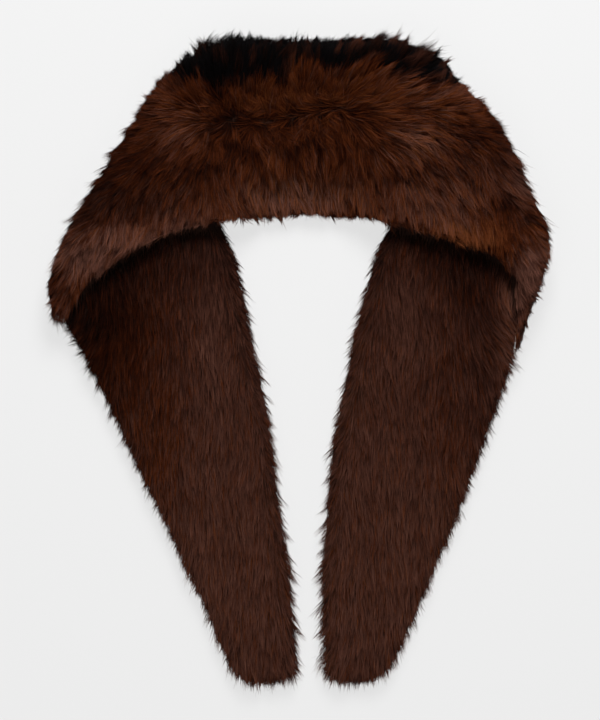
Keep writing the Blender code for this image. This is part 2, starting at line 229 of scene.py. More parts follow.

# The two colours of hair, from black to light: tone, colour of warm hair, colour of cool hair. The cool
# colour serves the tails, the black crown and the painted sheen on the fall.
PALETTE = (
    (0.00, (0.0012, 0.0008, 0.0007), (0.0022, 0.0021, 0.0024)),
    (0.20, (0.0065, 0.0015, 0.0006), (0.0065, 0.0025, 0.0016)),
    (0.40, (0.0270, 0.0055, 0.0014), (0.0270, 0.0088, 0.0056)),
    (0.52, (0.0470, 0.0094, 0.0024), (0.0470, 0.0158, 0.0099)),
    (0.64, (0.0680, 0.0146, 0.0038), (0.0680, 0.0245, 0.0153)),
    (0.76, (0.0880, 0.0206, 0.0057), (0.0880, 0.0330, 0.0212)),
    (0.88, (0.1150, 0.0305, 0.0093), (0.1150, 0.0450, 0.0300)),
    (1.00, (0.1600, 0.0470, 0.0162), (0.1600, 0.0660, 0.0452)),
)

# The darkest and the lightest underfur of each pelt.
STRIP_UNDERFUR = ((0.004, 0.0018, 0.0012), (0.020, 0.0085, 0.005))
FALL_UNDERFUR = ((0.003, 0.0013, 0.0009), (0.018, 0.006, 0.003))

# How each kind of hair stands, gathers in clumps and varies in tone. The density is of
# clumps on a square metre.
TAIL_HAIR = {
    "Lift": 0.32,
    "Clump Density": 75000.0,
    "Clump Pull": 0.60,
    "Stray": 0.10,
    "Tuft Spread": 0.18,
    "Tone Spread": 0.13,
}
FALL_HAIR = {
    "Lift": 0.46,
    "Clump Density": 36000.0,
    "Clump Pull": 0.64,
    "Stray": 0.16,
    "Tuft Spread": 0.34,
    "Tone Spread": 0.20,
}
CROWN_HAIR = {
    "Lift": 0.55,
    "Clump Density": 18000.0,
    "Clump Pull": 0.85,
    "Stray": 0.26,
    "Tuft Spread": 0.34,
    "Tone Spread": 0.12,
}

# The inputs of the tree that grows the hair.
FUR_INPUTS = (
    ("Pelt", "Geometry"),
    ("Density", "Float"),
    ("Length", "Float"),
    ("Width", "Float"),
    ("Lift", "Float"),
    ("Clump Density", "Float"),
    ("Clump Pull", "Float"),
    ("Stray", "Float"),
    ("Tuft Spread", "Float"),
    ("Tone Spread", "Float"),
    ("Ceiling", "Float"),
    ("Seed", "Int"),
    ("Blade", "Object"),
    ("Fur", "Material"),
)

# What the hair's attributes are called while it grows. The finished mesh keeps none.
PELT_NAMES = ("grow", "crushed", "comb", "tone", "warmth", "mottle", "size", "edge", "steep")
ROOT_NAMES = ("root", "out", "clump", "wild", "reach", "twist", "sway", "rise", "breadth", "own_tone", "warm")
BLADE_NAMES = ("side", "along")
WORKING_NAMES = PELT_NAMES + ROOT_NAMES + BLADE_NAMES


def smoothstep(value, low, high):
    share = np.clip((value - low) / (high - low), 0.0, 1.0)
    return share * share * (3.0 - 2.0 * share)


def unit(vectors):
    length = np.linalg.norm(vectors, axis=-1, keepdims=True)
    return vectors / np.maximum(length, 1e-9)


def is_vector(value):
    return isinstance(value, tuple) or (isinstance(value, Value) and value.socket.type == "VECTOR")


class Value:
    """A socket that takes arithmetic. Each expression adds its own node."""

    def __init__(self, graph, socket):
        self.graph = graph
        self.socket = socket

    def _combine(self, operation, left, right):
        maths = self.graph.vector if is_vector(left) or is_vector(right) else self.graph.math
        return maths(operation, left, right)

    def __add__(self, other):
        return self._combine("ADD", self, other)

    def __radd__(self, other):
        return self._combine("ADD", other, self)

    def __sub__(self, other):
        return self._combine("SUBTRACT", self, other)

    def __rsub__(self, other):
        return self._combine("SUBTRACT", other, self)

    def __mul__(self, other):
        if is_vector(self) != is_vector(other):
            vector, factor = (self, other) if is_vector(self) else (other, self)
            return self.graph.scale(vector, factor)
        return self._combine("MULTIPLY", self, other)

    __rmul__ = __mul__


class Graph:
    """A node tree under construction."""

    def __init__(self, tree):
        self.tree = tree

    def node(self, kind, settings=None, inputs=None):
        """Adds a node: its settings first, then the values or links of its sockets."""
        node = self.tree.nodes.new(kind)
        for name, value in (settings or {}).items():
            if name == "stops":
                set_stops(node.color_ramp, value)
            else:
                setattr(node, name, value)
        for name, value in (inputs or {}).items():
            self.feed(node.inputs[name], value)
        return node

    def feed(self, socket, value):
        if isinstance(value, Value):
            value = value.socket
        if isinstance(value, bpy.types.NodeSocket):
            self.tree.links.new(value, socket)
        else:
            socket.default_value = value

    def value(self, node, output=0):
        return Value(self, node.outputs[output])

    def math(self, operation, *values):
        return self.value(self.node("ShaderNodeMath", {"operation": operation}, dict(enumerate(values))))

    def vector(self, operation, *values):
        node = self.node("ShaderNodeVectorMath", {"operation": operation}, dict(enumerate(values)))
        return self.value(node, 1 if operation == "DOT_PRODUCT" else 0)

    def scale(self, vector, factor):
        inputs = {0: vector, "Scale": factor}
        return self.value(self.node("ShaderNodeVectorMath", {"operation": "SCALE"}, inputs))

    def clamp(self, value, low, high):
        return self.math("MINIMUM", self.math("MAXIMUM", value, low), high)


def set_stops(ramp, stops):
    while len(ramp.elements) < len(stops):
        ramp.elements.new(0.5)
    for element, (place, colour) in zip(ramp.elements, stops):
        element.position = place
        element.color = (*colour, 1.0)


class FurSettings(bpy.types.PropertyGroup):
    """Sizes of the pelts and of the hair."""

    voxel: FloatProperty(
        name="Pelt voxel", description="Mesh size of the pelts", default=0.0042, unit="LENGTH"
    )
    fall_pile: FloatProperty(
        name="Fall pile", description="Depth of the long hair over the pelt", default=0.0085, unit="LENGTH"
    )
    tail_pile: FloatProperty(
        name="Tail pile", description="Depth of the short hair over the pelt", default=0.0060, unit="LENGTH"
    )
    rest_pile: FloatProperty(
        name="Underside pile", description="Depth of the crushed hair below", default=0.0035, unit="LENGTH"
    )
    fall_length: FloatProperty(
        name="Fall hair", description="Length of the long hair", default=0.029, unit="LENGTH"
    )
    crown_length: FloatProperty(
        name="Crown hair", description="Length of the black hair", default=0.027, unit="LENGTH"
    )
    tail_length: FloatProperty(
        name="Tail hair", description="Length of the short hair", default=0.025, unit="LENGTH"
    )
    hair_width: FloatProperty(
        name="Hair width", description="Width of a wisp of hair at its root", default=0.00052, unit="LENGTH"
    )
    ceiling: FloatProperty(
        name="Ceiling", description="Greatest height of a hair", default=0.072, unit="LENGTH"
    )
    tail_hairs: IntProperty(name="Tail hairs", description="Wisps on each tail", default=49000)
    collar_hairs: IntProperty(name="Collar hairs", description="Wisps on the under collar", default=2600)
    fall_hairs: IntProperty(name="Fall hairs", description="Wisps on each piece of the fall", default=58000)
    crown_hairs: IntProperty(name="Crown hairs", description="Wisps on the crown band", default=26000)
    seed: IntProperty(name="Seed", description="Seed of the scatter", default=7)


class StageSettings(bpy.types.PropertyGroup):
    """The floor, the light and the camera."""

    view_height: FloatProperty(
        name="View height",
        description="Length that the picture's long side shows",
        default=0.72,
        unit="LENGTH",
    )
    view_centre: FloatVectorProperty(
        name="View centre", description="Point that the picture is centred on", default=(0.0, 0.0005, 0.0)
    )
    lens: FloatProperty(name="Lens", description="Focal length in millimetres", default=200.0)
    floor_colour: FloatVectorProperty(
        name="Floor", description="Colour of the floor", subtype="COLOR", default=(0.10, 0.10, 0.10)
    )
    floor_glow: FloatProperty(
        name="Floor glow", description="Even light of the floor, which hides most shadows", default=0.685
    )
    key_power: FloatProperty(name="Key light", description="Watts of the light at the back", default=88.0)
    fill_power: FloatProperty(name="Fill light", description="Watts of the light at the front", default=24.0)
    room_light: FloatProperty(name="Room light", description="Strength of light all round", default=0.30)


def node_shape(names):
    """The named solids as one mesh, with their loose triangles merged."""
    shape = bmesh.new()
    for name in names:
        shape.from_mesh(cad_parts[name].data)
    bmesh.ops.remove_doubles(shape, verts=shape.verts, dist=1e-5)
    return shape


def tree_of(names):
    shape = node_shape(names)
    tree = BVHTree.FromBMesh(shape)
    shape.free()
    return tree


def mesh_of(shape, name):
    """The finished shape as a mesh."""
    mesh = bpy.data.meshes.new(name)
    shape.to_mesh(mesh)
    shape.free()
    return mesh


def points_of(mesh):
    points = np.empty(len(mesh.vertices) * 3)
    mesh.vertices.foreach_get("co", points)
    return points.reshape(-1, 3)


def normals_of(mesh):
    return np.array([n.vector for n in mesh.vertex_normals])


def hit_distance(tree, point, direction, start, reach):
    """Distance at which a ray meets the tree, or the reach where it meets nothing."""
    _, _, _, distance = tree.ray_cast(Vector(point + direction * start), Vector(direction), reach)
    return reach if distance is None else distance + start


def nothing_above(point, others, own):
    """Whether the point shows from above: neither another solid nor its own one hides it."""
    up = np.array((0.0, 0.0, 1.0))
    to_others = hit_distance(others, point, up, 0.0, SKY)
    to_own = hit_distance(own, point, up, 0.001, SKY)
    return min(to_others, to_own) >= SKY


def store(mesh, name, values):
    """Stores one number, or one vector, at each vertex."""
    kind, field = ("FLOAT_VECTOR", "vector") if np.ndim(values) == 2 else ("FLOAT", "value")
    attribute = mesh.attributes.new(name, kind, "POINT")
    attribute.data.foreach_set(field, np.asarray(values, np.float32).ravel())


def add_object(name, mesh):
    thing = bpy.data.objects.new(name, mesh)
    bpy.context.scene.collection.objects.link(thing)
    return thing


def plain_mesh(thing, name):
    """Replaces an object's live modifiers with their result."""
    graph = bpy.context.evaluated_depsgraph_get()
    mesh = bpy.data.meshes.new_from_object(thing.evaluated_get(graph))
    mesh.name = name
    thing.modifiers.clear()
    thing.data = mesh
    return mesh


def away_from_parting(places):
    """Plan vectors from the nearest point of the fall's parting."""
    nearest = np.full((len(places), 2), 9.0)
    for start, end in zip(np.array(PARTING), np.array(PARTING[1:])):
        span = end - start
        share = np.clip(((places - start) @ span) / (span @ span), 0.0, 1.0)
        away = places - (start + share[:, None] * span)
        closer = np.linalg.norm(away, axis=1) < np.linalg.norm(nearest, axis=1)
        nearest[closer] = away[closer]
    return nearest


def waves(places, size, phase):
    """Smooth uneven values between -1 and 1, about size apart."""
    x, y = places[:, 0] / size, places[:, 1] / size
    return (
        np.sin(2.1 * x + 1.3 * np.sin(1.7 * y + phase) + phase)
        + np.sin(1.9 * y + 1.1 * np.sin(2.3 * x - phase) + 2.0 * phase)
        + np.sin(1.4 * (x + y) + phase * 3.0)
    ) / 3.0


def turned(plan, angle):
    cos, sin = np.cos(angle), np.sin(angle)
    x, y = plan[:, 0], plan[:, 1]
    return unit(np.stack([x * cos - y * sin, x * sin + y * cos], axis=1))


def swept(plan, places, sweeps):
    for x, y, radius, push_x, push_y in sweeps:
        near = np.exp(-(((places - (x, y)) / radius) ** 2).sum(1))
        plan = plan + near[:, None] * (push_x, push_y)
    return unit(plan)


def comb_of_fall(places):
    """Plan direction of the fall's hair: away from the parting, and down below it."""
    away = away_from_parting(places)
    distance = np.linalg.norm(away, axis=1)
    comb = unit(away)
    below = smoothstep(PARTING[0][1] - places[:, 1], -0.01, 0.05)
    near_pull, far_pull = smoothstep(distance, 0.0, 0.05), smoothstep(distance, 0.08, 0.16)
    comb[:, 1] -= below * (0.40 * near_pull + 0.50 * far_pull)
    above = smoothstep(places[:, 1] - PARTING[0][1], 0.0, 0.03)
    comb[:, 1] += 0.6 * above
    turn = 0.36 * waves(places, 0.024, 0.7) + 0.26 * waves(places, 0.009, 2.1)
    turn += 2.2 * waves(places, 0.007, 1.7) * np.exp(-((distance / 0.020) ** 2))
    return swept(turned(comb, turn), places, FALL_SWEEPS)


def across_tail(places):
    """How far across its tail each place lies, from -1 at its left edge to 1 at its right."""
    across = np.zeros(len(places))
    rows = np.floor(places[:, 1] / 0.005)
    for side in (-1.0, 1.0):
        for row in np.unique(rows):
            tail = (rows == row) & (places[:, 0] * side > TAIL_SPLIT * side)
            if tail.any():
                x = places[tail, 0]
                across[tail] = 2.0 * (x - x.min()) / max(x.max() - x.min(), 0.01) - 1.0
    return across


def comb_of_strip(places):
    """Plan direction of the tails' hair: down the tail, fanning out at its two edges."""
    across = across_tail(places)
    comb = np.tile((0.0, -1.0), (len(places), 1))
    comb[:, 0] += 0.9 * np.sign(across) * smoothstep(np.abs(across), 0.84, 1.0)
    turn = 0.16 * waves(places, 0.030, 1.9) + 0.16 * waves(places, 0.010, 0.4)
    return swept(turned(comb, turn), places, TAIL_SWEEPS)


def along_surface(plan, normals, splay):
    """Plan directions laid on the surface. Near an edge they splay out, then turn down."""
    comb = np.column_stack([plan + normals[:, :2] * splay, np.full(len(plan), -0.12)])
    comb -= normals * (comb * normals).sum(1, keepdims=True)
    return unit(comb)


def patches_at(places, patches):
    """The two changes that a table of patches makes at each place."""
    first, second = np.zeros(len(places)), np.zeros(len(places))
    for x, y, radius, stretch, more_first, more_second in patches:
        offset = (places[:, :2] - (x, y)) / (radius, radius * stretch)
        near = np.exp(-(offset**2).sum(1))
        first += more_first * near
        second += more_second * near
    return first, second


def colour_of_fall(places):
    """Tone of the fall's hair as it is seen at each place, its share of warm hair, and how
    much more its tufts differ from each other there."""
    tone, warmth = patches_at(places, FALL_PATCHES)
    tone += 0.49 + 0.06 * waves(places, 0.012, 0.3)
    edge_x, edge_y = np.array(CROWN_EDGE).T
    border = np.interp(places[:, 0], edge_x, edge_y) + 0.006 * waves(places, 0.006, 1.1)
    black = smoothstep(places[:, 1] - border, -0.004, 0.006)
    black_tone = np.interp(places[:, 0], *np.array(CROWN_TONES).T)
    tone += (black_tone - tone) * black
    return tone, (0.92 + warmth) * (1.0 - 0.9 * black), 1.0 + 2.6 * black


def colour_of_strip(places):
    """The same for the tails: even, lighter towards the ends, with faint bands across."""
    tone, warmth = patches_at(places, TAIL_PATCHES)
    tone += 0.67 + 0.05 * smoothstep(-places[:, 1], 0.0, 0.25)
    tone += 0.03 * waves(places, 0.016, 0.9) + 0.02 * waves(places, 0.005, 2.7)
    tone += 0.018 * np.sin(places[:, 1] * 140.0 + 0.8 * waves(places, 0.030, 0.4))
    return tone, 0.14 + warmth, np.ones(len(places))


def length_of_fall(places):
    """Length of the fall's hair, as a share of the usual one, its further reach, and how
    uneven its tufts are along the outline."""
    y = places[:, 1]
    change, further = patches_at(places, FALL_LENGTHS)
    ragged = 0.0045 + 0.0030 * smoothstep(y, 0.270, 0.300)
    further += ragged * waves(places, 0.0036, 2.3) - 0.0020
    spiky = 0.28 + 0.72 * smoothstep(y, 0.240, 0.290) + 0.70 * smoothstep(-y, -0.095, -0.065)
    return (1.0 + change) * (1.0 + 0.10 * waves(places, 0.011, 1.3)), further, spiky


def length_of_strip(places):
    """The same for the short hair."""
    across = across_tail(places)
    share = 1.0 + 0.14 * waves(places, 0.010, 0.2) - 0.25 * smoothstep(np.abs(across), 0.75, 1.0)
    inwards = -across * np.sign(places[:, 0] - TAIL_SPLIT)
    change, further = patches_at(places, TAIL_LENGTHS)
    further += 0.0030 * smoothstep(inwards, 0.6, 1.0) - 0.0020 * smoothstep(-inwards, 0.6, 1.0)
    further += 0.0035 * waves(places, 0.0034, 0.6)
    return share + change, further, np.full(len(places), 0.6)


class Layer(NamedTuple):
    """One layer of the wrap. Its hair keeps to the outline of some solids, reaches the overhang past it and
    splays where the surface turns down. The cover casts a shadow on it, and a shadow of the cover is also
    painted into its tone."""

    pelt_name: str
    nodes: tuple
    cover: tuple
    outline: tuple
    overhang: float
    splay: float
    comb_of: Callable
    colour_of: Callable
    length_of: Callable


STRIP = Layer(
    pelt_name="strip_pelt",
    nodes=STRIP_NODES,
    cover=FALL_NODES,
    outline=STRIP_NODES + FALL_NODES,
    overhang=0.0045,
    splay=0.45,
    comb_of=comb_of_strip,
    colour_of=colour_of_strip,
    length_of=length_of_strip,
)

FALL = Layer(
    pelt_name="fall_pelt",
    nodes=FALL_NODES,
    cover=(),
    outline=FALL_NODES,
    overhang=-0.001,
    splay=0.55,
    comb_of=comb_of_fall,
    colour_of=colour_of_fall,
    length_of=length_of_fall,
)


def make_pelt(layer, top_pile, settings):
    """A layer's pelt, inside its solids and a pile's depth below their surface."""
    pelt = add_object(layer.pelt_name, mesh_of(node_shape(layer.nodes), layer.pelt_name))
    remesh = pelt.modifiers.new("even", "REMESH")
    remesh.mode = "VOXEL"
    remesh.voxel_size = settings.voxel
    mesh = plain_mesh(pelt, layer.pelt_name)

    others = tree_of([n for n in STRIP_NODES + FALL_NODES if n not in layer.nodes])
    own = BVHTree.FromObject(pelt, bpy.context.evaluated_depsgraph_get())
    points, normals = points_of(mesh), normals_of(mesh)
    room = np.array([hit_distance(others, p, n, 0.0, 0.04) for p, n in zip(points, normals)])
    wall = np.array([hit_distance(own, p, -n, 0.0005, 0.08) for p, n in zip(points, normals)])
    down = smoothstep(-normals[:, 2], 0.6, 0.95)
    side = 1.0 - smoothstep(np.abs(normals[:, 2]), 0.2, 0.7)
    pile = top_pile * (1.0 - 0.35 * side)
    pile += (settings.rest_pile - pile) * down
    pile = pile * (0.35 + 0.65 * smoothstep(room, 0.002, 0.008))
    pile = np.minimum(pile, 0.3 * wall)
    points = points - normals * pile[:, None]
    mesh.vertices.foreach_set("co", points.ravel())
    smooth = pelt.modifiers.new("even", "SMOOTH")
    smooth.factor = 0.5
    smooth.iterations = 3
    mesh = plain_mesh(pelt, layer.pelt_name)
    mesh.shade_smooth()

    # Hair grows where the pelt shows from above or nothing lies on it, and thinly on the
    # crushed underside.
    shown = [nothing_above(p, others, own) for p in points]
    open_share = np.maximum(smoothstep(room, 0.006, 0.014), shown)
    store(mesh, "grow", open_share * (1.0 - 0.72 * down))
    store(mesh, "crushed", down)
    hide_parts(*layer.nodes)
    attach(pelt, "root")
    return pelt


def room_ahead(tree, points, comb, reach):
    """How far each hair can lie along its comb before it leaves the solids in plan."""
    room = np.full(len(points), reach)
    step = reach / ROOM_STEPS
    for index in range(ROOM_STEPS, 0, -1):
        ahead = points + comb * (step * index)
        for i, place in enumerate(ahead):
            above = Vector((place[0], place[1], SKY))
            if tree.ray_cast(above, Vector((0.0, 0.0, -1.0)), 2.0)[0] is None:
                room[i] = step * (index - 0.5)
    return room


def painted_shadow_of(cover, points):
    """A painted shadow: how much darker the hair's tone is made near what lies over it. The right shoulder
    stays lit.
    """
    tree = tree_of(cover)
    gap = np.array([tree.find_nearest(Vector(point))[3] for point in points])
    lit = smoothstep(points[:, 0], *SHADOW_END)
    return SHADOW_DEPTH * np.exp(-gap / SHADOW_REACH) * (1.0 - lit)


def paint(pelt, layer, hair):
    """Stores what the hair reads from the pelt: its comb, its tone and its lengths."""
    mesh = pelt.data
    points, normals = points_of(mesh), normals_of(mesh)
    places = points[:, :2]
    comb = along_surface(layer.comb_of(places), normals, layer.splay)
    store(mesh, "comb", comb)

    # A hair is seen most near its tip, so it takes the tone of that place.
    tone, warmth, mottle = layer.colour_of(points + comb * (0.6 * hair))
    # Near its cover the hair's tone is darkened by a painted shadow.
    if layer.cover:
        tone -= painted_shadow_of(layer.cover, points)
    store(mesh, "tone", tone)
    store(mesh, "warmth", np.clip(warmth, 0.0, 1.0))
    store(mesh, "mottle", mottle)

    # The hair is cut where it would leave the outline, and its tufts grow uneven there.
    side = 1.0 - smoothstep(normals[:, 2], 0.1, 0.8)
    size, further, spiky = layer.length_of(places)
    further = further + layer.overhang
    room = room_ahead(tree_of(layer.outline), points, comb, 1.5 * hair) + further
    store(mesh, "size", np.clip(room / hair, 0.1, size * (1.0 - 0.25 * side)))
    outwards = np.column_stack([unit(comb[:, :2] + 1.5 * normals[:, :2]), np.zeros(len(points))])
    margin = room_ahead(tree_of(STRIP_NODES + FALL_NODES), points, outwards, 1.5 * hair)
    store(mesh, "edge", spiky * (1.0 - smoothstep(margin / hair, 0.4, 1.1)))

    # It stands up at the parting and lies flat on the sides.
    from_parting = np.linalg.norm(away_from_parting(places), axis=1)
    steep = 1.0 - side * (0.50 - 60.0 * further) + 0.5 * np.exp(-((from_parting / 0.030) ** 2))
    store(mesh, "steep", np.maximum(steep, 0.05))


def piece_of(pelt, name, nodes):
    """A copy of the faces of a pelt that lie nearest to one solid."""
    trees = {node: tree_of([node]) for node in nodes}
    shape = bmesh.new()
    shape.from_mesh(pelt.data)
    others = []
    for face in shape.faces:
        centre = face.calc_center_median()
        distances = {node: trees[node].find_nearest(centre)[3] for node in nodes}
        if min(distances, key=distances.get) != name:
            others.append(face)
    bmesh.ops.delete(shape, geom=others, context="FACES")
    return add_object(name + "_fur", mesh_of(shape, name + "_roots"))


def growing_area(mesh):
    """Area of the mesh, each face counted by the share of hair that it grows."""
    grow = np.empty(len(mesh.vertices), np.float32)
    mesh.attributes["grow"].data.foreach_get("value", grow)
    return sum(p.area * float(grow[list(p.vertices)].mean()) for p in mesh.polygons)


def blade_object():
    """One flat tapering blade from y = 0 to y = 1, of unit width."""
    shape = bmesh.new()
    rows = [
        [shape.verts.new((side, row / BLADE_ROWS, 0.0)) for side in (-0.5, 0.5)]
        for row in range(BLADE_ROWS)
    ]
    for low, high in zip(rows, rows[1:]):
        shape.faces.new((low[0], low[1], high[1], high[0]))
    tip = shape.verts.new((0.0, 1.0, 0.0))
    shape.faces.new((rows[-1][0], rows[-1][1], tip))
    return add_object("blade", mesh_of(shape, "blade"))


class FurGraph(Graph):
    """The tree that grows hair. What each hair needs travels as named attributes."""

    def asked(self, name):
        """One of the tree's inputs."""
        return self.value(self.node("NodeGroupInput"), name)

    def stored(self, name, kind="FLOAT"):
        """The value of a named attribute."""
        inputs = {"Name": name}
        return self.value(self.node("GeometryNodeInputNamedAttribute", {"data_type": kind}, inputs))

    def keep(self, geometry, name, value, kind="FLOAT", domain="POINT"):
        """The geometry with the value kept as a named attribute."""
        settings = {"data_type": kind, "domain": domain}
        inputs = {"Geometry": geometry, "Name": name, "Value": value}
        return self.node("GeometryNodeStoreNamedAttribute", settings, inputs).outputs[0]

    def chance(self, draw, low=0.0, high=1.0):
        """A random value of each point. Each draw has its own number."""
        inputs = {2: low, 3: high, "Seed": self.asked("Seed") + draw}
        return self.value(self.node("FunctionNodeRandomValue", {"data_type": "FLOAT"}, inputs), 1)

    def scatter(self, density, draw):
        """Random points on the pelt."""
        inputs = {"Mesh": self.asked("Pelt"), "Density": density, "Seed": self.asked("Seed") + draw}
        return self.node("GeometryNodeDistributePointsOnFaces", None, inputs)


def hair_points(graph):
    """A point at each hair's root, which keeps the hair's own values."""
    position = graph.value(graph.node("GeometryNodeInputPosition"))
    grow = graph.stored("grow")
    roots = graph.scatter(graph.asked("Density") * grow, 0)
    centres = graph.scatter(graph.asked("Clump Density") * graph.math("SIGN", grow), 11).outputs["Points"]
    nearest = graph.node("GeometryNodeSampleNearest", {"domain": "POINT"}, {"Geometry": centres})
    clump = graph.node(
        "GeometryNodeSampleIndex",
        {"data_type": "FLOAT_VECTOR", "domain": "POINT"},
        {"Geometry": centres, "Value": position, "Index": nearest.outputs[0]},
    )
    points = graph.keep(roots.outputs["Points"], "root", position, "FLOAT_VECTOR")
    points = graph.keep(points, "out", roots.outputs["Normal"], "FLOAT_VECTOR")
    points = graph.keep(points, "clump", clump.outputs[0], "FLOAT_VECTOR")
    points = graph.keep(points, "wild", graph.math("GREATER_THAN", graph.chance(1), 0.97))
    wild = graph.stored("wild")
    own_values = {
        "reach": graph.chance(2, 0.70, 1.0) + wild * 0.15,
        "twist": graph.chance(3, -1.1, 1.1),
        "sway": graph.chance(4, -1.0, 1.0),
        "rise": graph.chance(5, 0.65, 1.3) + wild * 0.3,
        "breadth": graph.chance(6, 0.6, 1.25),
        "own_tone": graph.chance(7, -1.0, 1.0),
        "warm": graph.math("LESS_THAN", graph.chance(8), graph.stored("warmth")),
    }
    for name, value in own_values.items():
        points = graph.keep(points, name, value)
    return points


def blades_on(graph, points):
    """A blade on each point. Its points keep their place across and along the blade."""
    position = graph.value(graph.node("GeometryNodeInputPosition"))
    parts = graph.node("ShaderNodeSeparateXYZ", None, {0: position})
    blade = graph.node("GeometryNodeObjectInfo", None, {"Object": graph.asked("Blade")})
    blades = graph.keep(blade.outputs["Geometry"], "side", parts.outputs[0])
    blades = graph.keep(blades, "along", parts.outputs[1])
    placed = graph.node("GeometryNodeInstanceOnPoints", None, {"Points": points, "Instance": blades})
    return graph.node("GeometryNodeRealizeInstances", None, {"Geometry": placed.outputs[0]}).outputs[0]


def combed_place(graph, tuft):
    """Where the points of a blade go. The hair leaves the skin at a slant, bends over and
    lies along the comb, and is drawn towards the middle of its clump."""
    root, out = graph.stored("root", "FLOAT_VECTOR"), graph.stored("out", "FLOAT_VECTOR")
    clump, lie = graph.stored("clump", "FLOAT_VECTOR"), graph.stored("comb", "FLOAT_VECTOR")
    along, edge, sway = graph.stored("along"), graph.stored("edge"), graph.stored("sway")
    twist, wild = graph.stored("twist"), graph.stored("wild")
    stray = graph.asked("Stray")

    noise = graph.node(
        "ShaderNodeTexNoise", {"noise_dimensions": "3D"}, {"Vector": clump, "Scale": 160.0, "Detail": 1.0}
    )
    wander = graph.value(noise, "Color") - (0.5, 0.5, 0.5)
    sideways = graph.vector("CROSS_PRODUCT", lie, out)
    comb = lie + wander * (stray * 2.6)
    comb = comb + sideways * (sway * stray * (0.35 + wild * 1.2))
    comb = graph.vector("NORMALIZE", comb - out * graph.vector("DOT_PRODUCT", comb, out))

    tuft_parts = graph.node("ShaderNodeSeparateXYZ", None, {0: tuft.outputs["Color"]})
    tuft_rise = graph.value(tuft_parts, 0) * 1.3 + 0.3
    tuft_length = graph.value(tuft_parts, 1)
    calm = tuft_length * 0.36 + 0.74
    spiky = tuft_length * tuft_length * 1.05 + 0.50
    uneven = calm + (spiky - calm) * edge
    length = graph.asked("Length") * graph.stored("reach") * graph.stored("size") * uneven

    lift = graph.asked("Lift") * graph.stored("rise") * tuft_rise * graph.stored("steep")
    lift = lift * (1.0 - graph.stored("crushed") * 0.85)
    height = (along - along * along * 0.48) * lift
    pull = graph.math("MINIMUM", graph.asked("Clump Pull") * (1.0 + edge * 0.4), 0.95)
    gather = (clump - root) * (along * along * pull * (1.0 - wild))
    curl = graph.math("SINE", along * 4.5 + sway * 3.0) * length * stray * 0.35
    spine = comb * (along * length) + out * (height * length) + gather + sideways * curl

    across = graph.vector("NORMALIZE", graph.vector("CROSS_PRODUCT", comb, out))
    across = across * graph.math("COSINE", twist) + out * graph.math("SINE", twist)
    width = graph.asked("Width") * graph.stored("breadth") * (1.0 - along * along * 0.7)
    place = root + spine + across * (graph.stored("side") * width)
    parts = graph.node("ShaderNodeSeparateXYZ", None, {0: place})
    level = graph.clamp(graph.value(parts, 2), LOWEST_HAIR, graph.asked("Ceiling"))
    place = graph.node("ShaderNodeCombineXYZ", None, {0: parts.outputs[0], 1: parts.outputs[1], 2: level})
    return place.outputs[0]


def colour_spot(graph, tuft):
    """The hair's place on the colour map: its tone across, once for cool and once for warm
    hair, and its root to its tip upwards."""
    tuft_tone = (graph.value(tuft, "Value") - 0.5) * graph.asked("Tuft Spread") * graph.stored("mottle")
    own_tone = graph.stored("own_tone") * graph.asked("Tone Spread")
    tone = graph.stored("tone") + tuft_tone + own_tone + graph.stored("wild") * 0.06
    tone = graph.clamp(tone, 0.02, 0.97) + graph.stored("side") * 0.016
    across, upwards = (tone + graph.stored("warm")) * 0.5, 0.02 + graph.stored("along") * 0.96
    return graph.node("ShaderNodeCombineXYZ", None, {0: across, 1: upwards}).outputs[0]


def fur_tree():
    """A geometry tree that grows hair on a painted pelt."""
    tree = bpy.data.node_groups.new("combed_fur", "GeometryNodeTree")
    for name, kind in FUR_INPUTS:
        tree.interface.new_socket(name, in_out="INPUT", socket_type="NodeSocket" + kind)
    tree.interface.new_socket("Fur", in_out="OUTPUT", socket_type="NodeSocketGeometry")
    graph = FurGraph(tree)
    clump = graph.stored("clump", "FLOAT_VECTOR")
    tuft = graph.node("ShaderNodeTexWhiteNoise", {"noise_dimensions": "3D"}, {"Vector": clump})
    hair = blades_on(graph, hair_points(graph))
    moved = graph.node(
        "GeometryNodeSetPosition", None, {"Geometry": hair, "Position": combed_place(graph, tuft)}
    )
    hair = graph.keep(moved.outputs[0], "OFBake", colour_spot(graph, tuft), "FLOAT2", "CORNER")
    smooth = graph.node("GeometryNodeSetShadeSmooth", None, {"Geometry": hair})
    done = graph.node(
        "GeometryNodeSetMaterial", None, {"Geometry": smooth.outputs[0], "Material": graph.asked("Fur")}
    )
    graph.node("NodeGroupOutput", None, {0: done.outputs[0]})
    return tree


def material_graph(name):
    """A material, and the graph of its empty node tree."""
    material = bpy.data.materials.new(name)
    material.use_nodes = True
    material.node_tree.nodes.clear()
    return material, Graph(material.node_tree)


def shade_surface(graph, inputs):
    shader = graph.node("ShaderNodeBsdfPrincipled", None, inputs)
    graph.node("ShaderNodeOutputMaterial", None, {"Surface": shader.outputs[0]})


